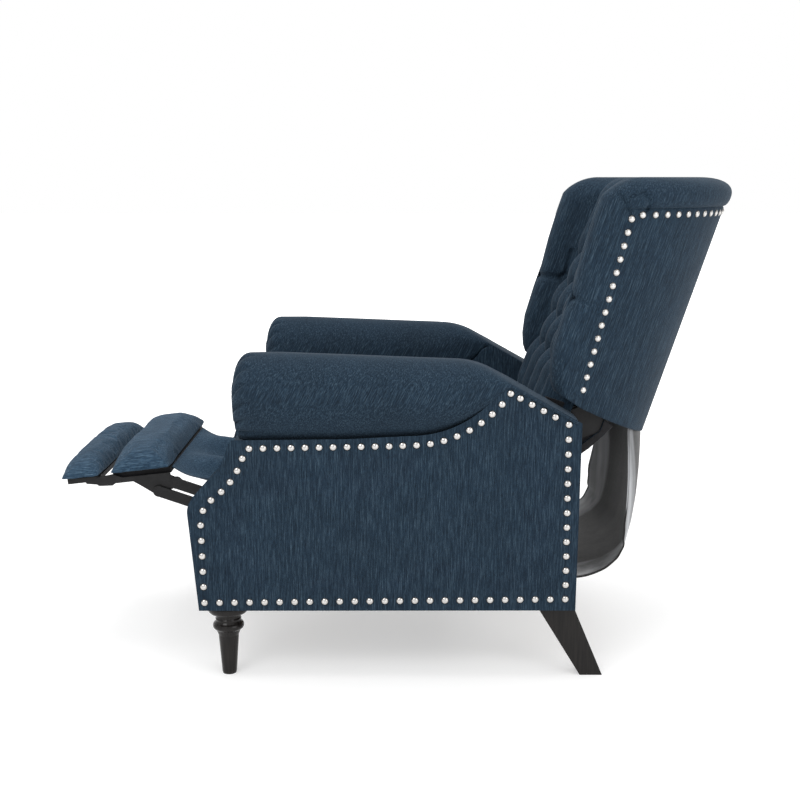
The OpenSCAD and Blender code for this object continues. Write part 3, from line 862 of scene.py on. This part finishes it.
def rounded_box(name, low, high, radius, cells, material, crown=0.0):
    """A closed box of soft edges whose top is crowned."""
    low, high = np.array(low, float), np.array(high, float)
    half, centre = (high - low) / 2, (high + low) / 2
    index, vertices, faces = {}, [], []

    def corner(i, j, k):
        key = (i, j, k)
        if key not in index:
            p = np.array([2 * i / cells[0] - 1, 2 * j / cells[1] - 1, 2 * k / cells[2] - 1]) * half
            core = np.clip(p, -(half - radius), half - radius)
            away = p - core
            length = np.linalg.norm(away)
            q = core + (away / length * radius if length > 1e-9 else away)
            fx, fy = q[0] / half[0], q[1] / half[1]
            rise = crown * (1 - abs(fx) ** 3) * (1 - abs(fy) ** 3)
            q[2] += rise * max(q[2] / half[2], 0)
            index[key] = len(vertices)
            vertices.append(q + centre)
        return index[key]

    a, b, c = cells
    for i in range(a):
        for j in range(b):
            faces.append((corner(i, j, 0), corner(i, j + 1, 0), corner(i + 1, j + 1, 0), corner(i + 1, j, 0)))
            faces.append((corner(i, j, c), corner(i + 1, j, c), corner(i + 1, j + 1, c), corner(i, j + 1, c)))
    for i in range(a):
        for k in range(c):
            faces.append((corner(i, 0, k), corner(i + 1, 0, k), corner(i + 1, 0, k + 1), corner(i, 0, k + 1)))
            faces.append((corner(i, b, k), corner(i, b, k + 1), corner(i + 1, b, k + 1), corner(i + 1, b, k)))
    for j in range(b):
        for k in range(c):
            faces.append((corner(0, j, k), corner(0, j, k + 1), corner(0, j + 1, k + 1), corner(0, j + 1, k)))
            faces.append((corner(a, j, k), corner(a, j + 1, k), corner(a, j + 1, k + 1), corner(a, j, k + 1)))
    return make(name, vertices, faces, material)


def pillow(name, rear, length, half_w, thick, material):
    """A footrest pad: flat below, crowned above, with edges that thin out like a pillow's."""
    nx, ny = 96, 48
    us = np.sin(np.linspace(-math.pi / 2, math.pi / 2, nx))
    vs = (np.sin(np.linspace(-math.pi / 2, math.pi / 2, ny)) + 1) / 2
    top, bottom = [], []
    for u in us:
        fall = (1 - abs(u) ** 4.5) ** 0.5
        across = 2 * vs - 1
        ridge = np.clip(1 - np.abs(across) ** 6, 0, 1) ** 0.5
        along = 0.0005 + (length - 0.001) * vs
        wave = np.sin(23 * u + 2 * vs) + np.sin(37.7 * u - 3 * vs) + np.sin(61.3 * u)
        wrinkle = 0.0004 * wave * smooth(0.6, 1, np.abs(across))
        rise = PAD_EDGE + (thick - PAD_EDGE) * fall * ridge + wrinkle * fall
        under = 0.003 * (1 - fall * ridge)
        for store, height in ((top, rise), (bottom, under)):
            y = rear[0] - along * math.cos(PAD_SLOPE) - height * math.sin(PAD_SLOPE)
            z = rear[1] - along * math.sin(PAD_SLOPE) + height * math.cos(PAD_SLOPE)
            store.append(np.column_stack([np.full(ny, u * half_w), y, z]))
    top, bottom = np.array(top), np.array(bottom)
    points = np.concatenate([top, bottom[:, ::-1]], 1)
    return grid(name, points, material, loop_v=True, close_u=True, flip=True)


def under_pad(points, rear):
    """Which points lie on a pad's underside."""
    up = (points[:, 2] - rear[1]) * math.cos(PAD_SLOPE) - (points[:, 1] - rear[0]) * math.sin(PAD_SLOPE)
    return up < PAD_EDGE


def sheet_along(name, path, half_w, thick, columns, material, ripple, taper=None):
    """A thin sheet that follows a path in side view, lifted by ripple and narrowed by taper."""
    path = np.array(path, float)
    span = np.concatenate([[0], np.cumsum(np.linalg.norm(np.diff(path, axis=0), axis=1))])
    t = np.linspace(0, span[-1], 90)
    line = np.column_stack([np.interp(t, span, path[:, 0]), np.interp(t, span, path[:, 1])])
    for _ in range(6):
        line[1:-1] = (line[:-2] + 2 * line[1:-1] + line[2:]) / 4
    tangent = np.gradient(line, axis=0)
    normal = np.column_stack([tangent[:, 1], -tangent[:, 0]])
    normal /= np.linalg.norm(normal, axis=1)[:, None]
    share = t / span[-1]
    faces_out = []
    for sign in (1, -1):
        rows = []
        for x in np.linspace(-half_w, half_w, columns):
            x = x * taper(share) if taper is not None else x + 0 * share
            p = line + normal * (ripple(x, share) + sign * thick / 2)[:, None]
            rows.append(np.column_stack([x, p]))
        faces_out.append(np.array(rows))
    points = np.concatenate([faces_out[0], faces_out[1][:, ::-1]], 1)
    nu, nv = points.shape[:2]
    half_v = nv // 2
    sides = []
    for row in (0, nu - 1):
        for j in range(half_v - 1):
            m = nv - 1 - j
            quad = (row * nv + j, row * nv + j + 1, row * nv + m - 1, row * nv + m)
            sides.append(quad if row else quad[::-1])
    faces = [(i * nv + j, (i + 1) * nv + j, (i + 1) * nv + (j + 1) % nv, i * nv + (j + 1) % nv)
             for i in range(nu - 1) for j in range(nv)]
    sheet = make(name, points.reshape(-1, 3), faces + sides, material)
    return sheet, float(span[-1])


def build_seat():
    """The seat cushion, and the padded front of the seat below it."""
    low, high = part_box("seat_cushion")
    cushion = rounded_box("seat_pad", (low.x - 0.004, low.y, low.z), (high.x + 0.004, high.y, high.z),
                          0.026, (44, 48, 10), CLOTH_LEVEL_PAINTED_LIT, crown=0.012)
    blow_up(cushion, lambda p: (p[:, 2] < low.z + 0.012) | (p[:, 1] > high.y - 0.006))
    place(cushion, "seat", "upholstery", "seat_cushion")
    low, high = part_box("seat_front_rail")
    band = rounded_box("seat_band", (low.x + 0.0005, low.y - 0.003, low.z - 0.002),
                       (high.x - 0.0005, high.y + 0.002, high.z + 0.006), 0.008, (60, 12, 8), CLOTH_LEVEL_PAINTED_LIT)
    place(band, "seat", "upholstery", "seat_front_rail")


def build_footrest():
    half_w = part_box("footrest_pad")[1].x
    main = pillow("footrest_cushion", MAIN_PAD_REAR, 0.118, half_w, 0.044, CLOTH_PAD_PAINTED_LIT)
    blow_up(main, lambda p: under_pad(p, MAIN_PAD_REAR), cell=0.004)
    place(main, "footrest", "upholstery", "footrest_pad")
    outer = pillow("flipper_cushion", OUTER_PAD_REAR, 0.076, half_w, 0.038, CLOTH_PAD_PAINTED_LIT)
    blow_up(outer, lambda p: under_pad(p, OUTER_PAD_REAR), cell=0.004)
    place(outer, "flipper", "upholstery", "flipper_pad")

    def fold(x, share):
        """Slack folds that run slantwise down the flap."""
        near = 0.014 * np.sin(math.pi * share)
        return near * np.cos(2 * math.pi * (x / 0.19 + 0.9 * share)) - 0.006 * np.sin(math.pi * share)

    path = [(-0.447, 0.3855), (-0.374, 0.3475), (-0.320, 0.3345), (-0.292, 0.3455), (-0.277, 0.3595),
            (-0.256, 0.3605)]
    flap, length = sheet_along("footrest_apron", path, 0.190, 0.0016, 60, CLOTH_PAD_PAINTED_LIT, fold)
    place(flap, "seat", "upholstery", "footrest_flap")
    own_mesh(flap)


def build_gussets():
    """Black cloth let in between the wings' hems and the frame, stretched over the brackets."""
    hem = [back_side(-0.015, 0.040), (0.334, 0.408), (0.364, 0.430), (0.392, 0.456), (0.408, 0.472),
           back_side(0.098, 0.124), back_side(0.060, 0.130), back_side(-0.025, 0.130)]
    outline = np.array(hem)
    count = len(outline)
    centre = outline.mean(0)
    outer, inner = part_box("back_gussets")[1].x + 0.0010, 0.2222
    rings = [(inner, 1.0), (inner + 0.0016, 1.006), (outer - 0.0012, 1.004), (outer, 0.98)]
    vertices, faces = [], []
    for side in (1, -1):
        start = len(vertices)
        for x, grow in rings:
            vertices += [(side * x, *p) for p in centre + (outline - centre) * grow]
        for i in range(len(rings) - 1):
            for j in range(count):
                k = (j + 1) % count
                a, b = start + i * count, start + (i + 1) * count
                faces.append((a + j, a + k, b + k, b + j)[::side])
        last = start + (len(rings) - 1) * count
        faces.append(tuple(range(start, start + count))[::-side])
        faces.append(tuple(range(last, last + count))[::side])
    gussets = make("wing_gussets", vertices, faces, BLACK, shade=False)
    place(gussets, "back", "black_cloth", "back_gussets")


def build_sling():
    """The black apron that closes the gap between the back and the base."""
    half_w, top_share, bow = 0.232, 0.72, 0.050

    def taper(share):
        return top_share + (1 - top_share) * smooth(0, 0.5, share)

    def curve(x, share):
        """The sheet follows the round back at its top, and is flat at the rear rail."""
        unit = x / (half_w * taper(share))
        sag = 0.004 * np.sin(math.pi * np.clip(share, 0, 1))
        return bow * unit ** 2 * (1 - smooth(0.45, 0.95, share)) - sag

    path = [(0.5000, 0.467), (0.4980, 0.412), (0.4940, 0.364), (0.4865, 0.306), (0.4780, 0.258),
            (0.4640, 0.222), (0.4390, 0.199), (0.4060, 0.184), (0.3660, 0.176), (0.3275, 0.171)]
    sling, length = sheet_along("rear_apron", path, half_w, 0.003, 50, SLING, curve, taper)
    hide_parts("rear_sling")
    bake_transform(sling)


# ---------------------------------------------------------------- run

build_stage()
dress_cad_nodes()
build_arms()
build_back()
build_seat()
build_footrest()
build_gussets()
build_sling()
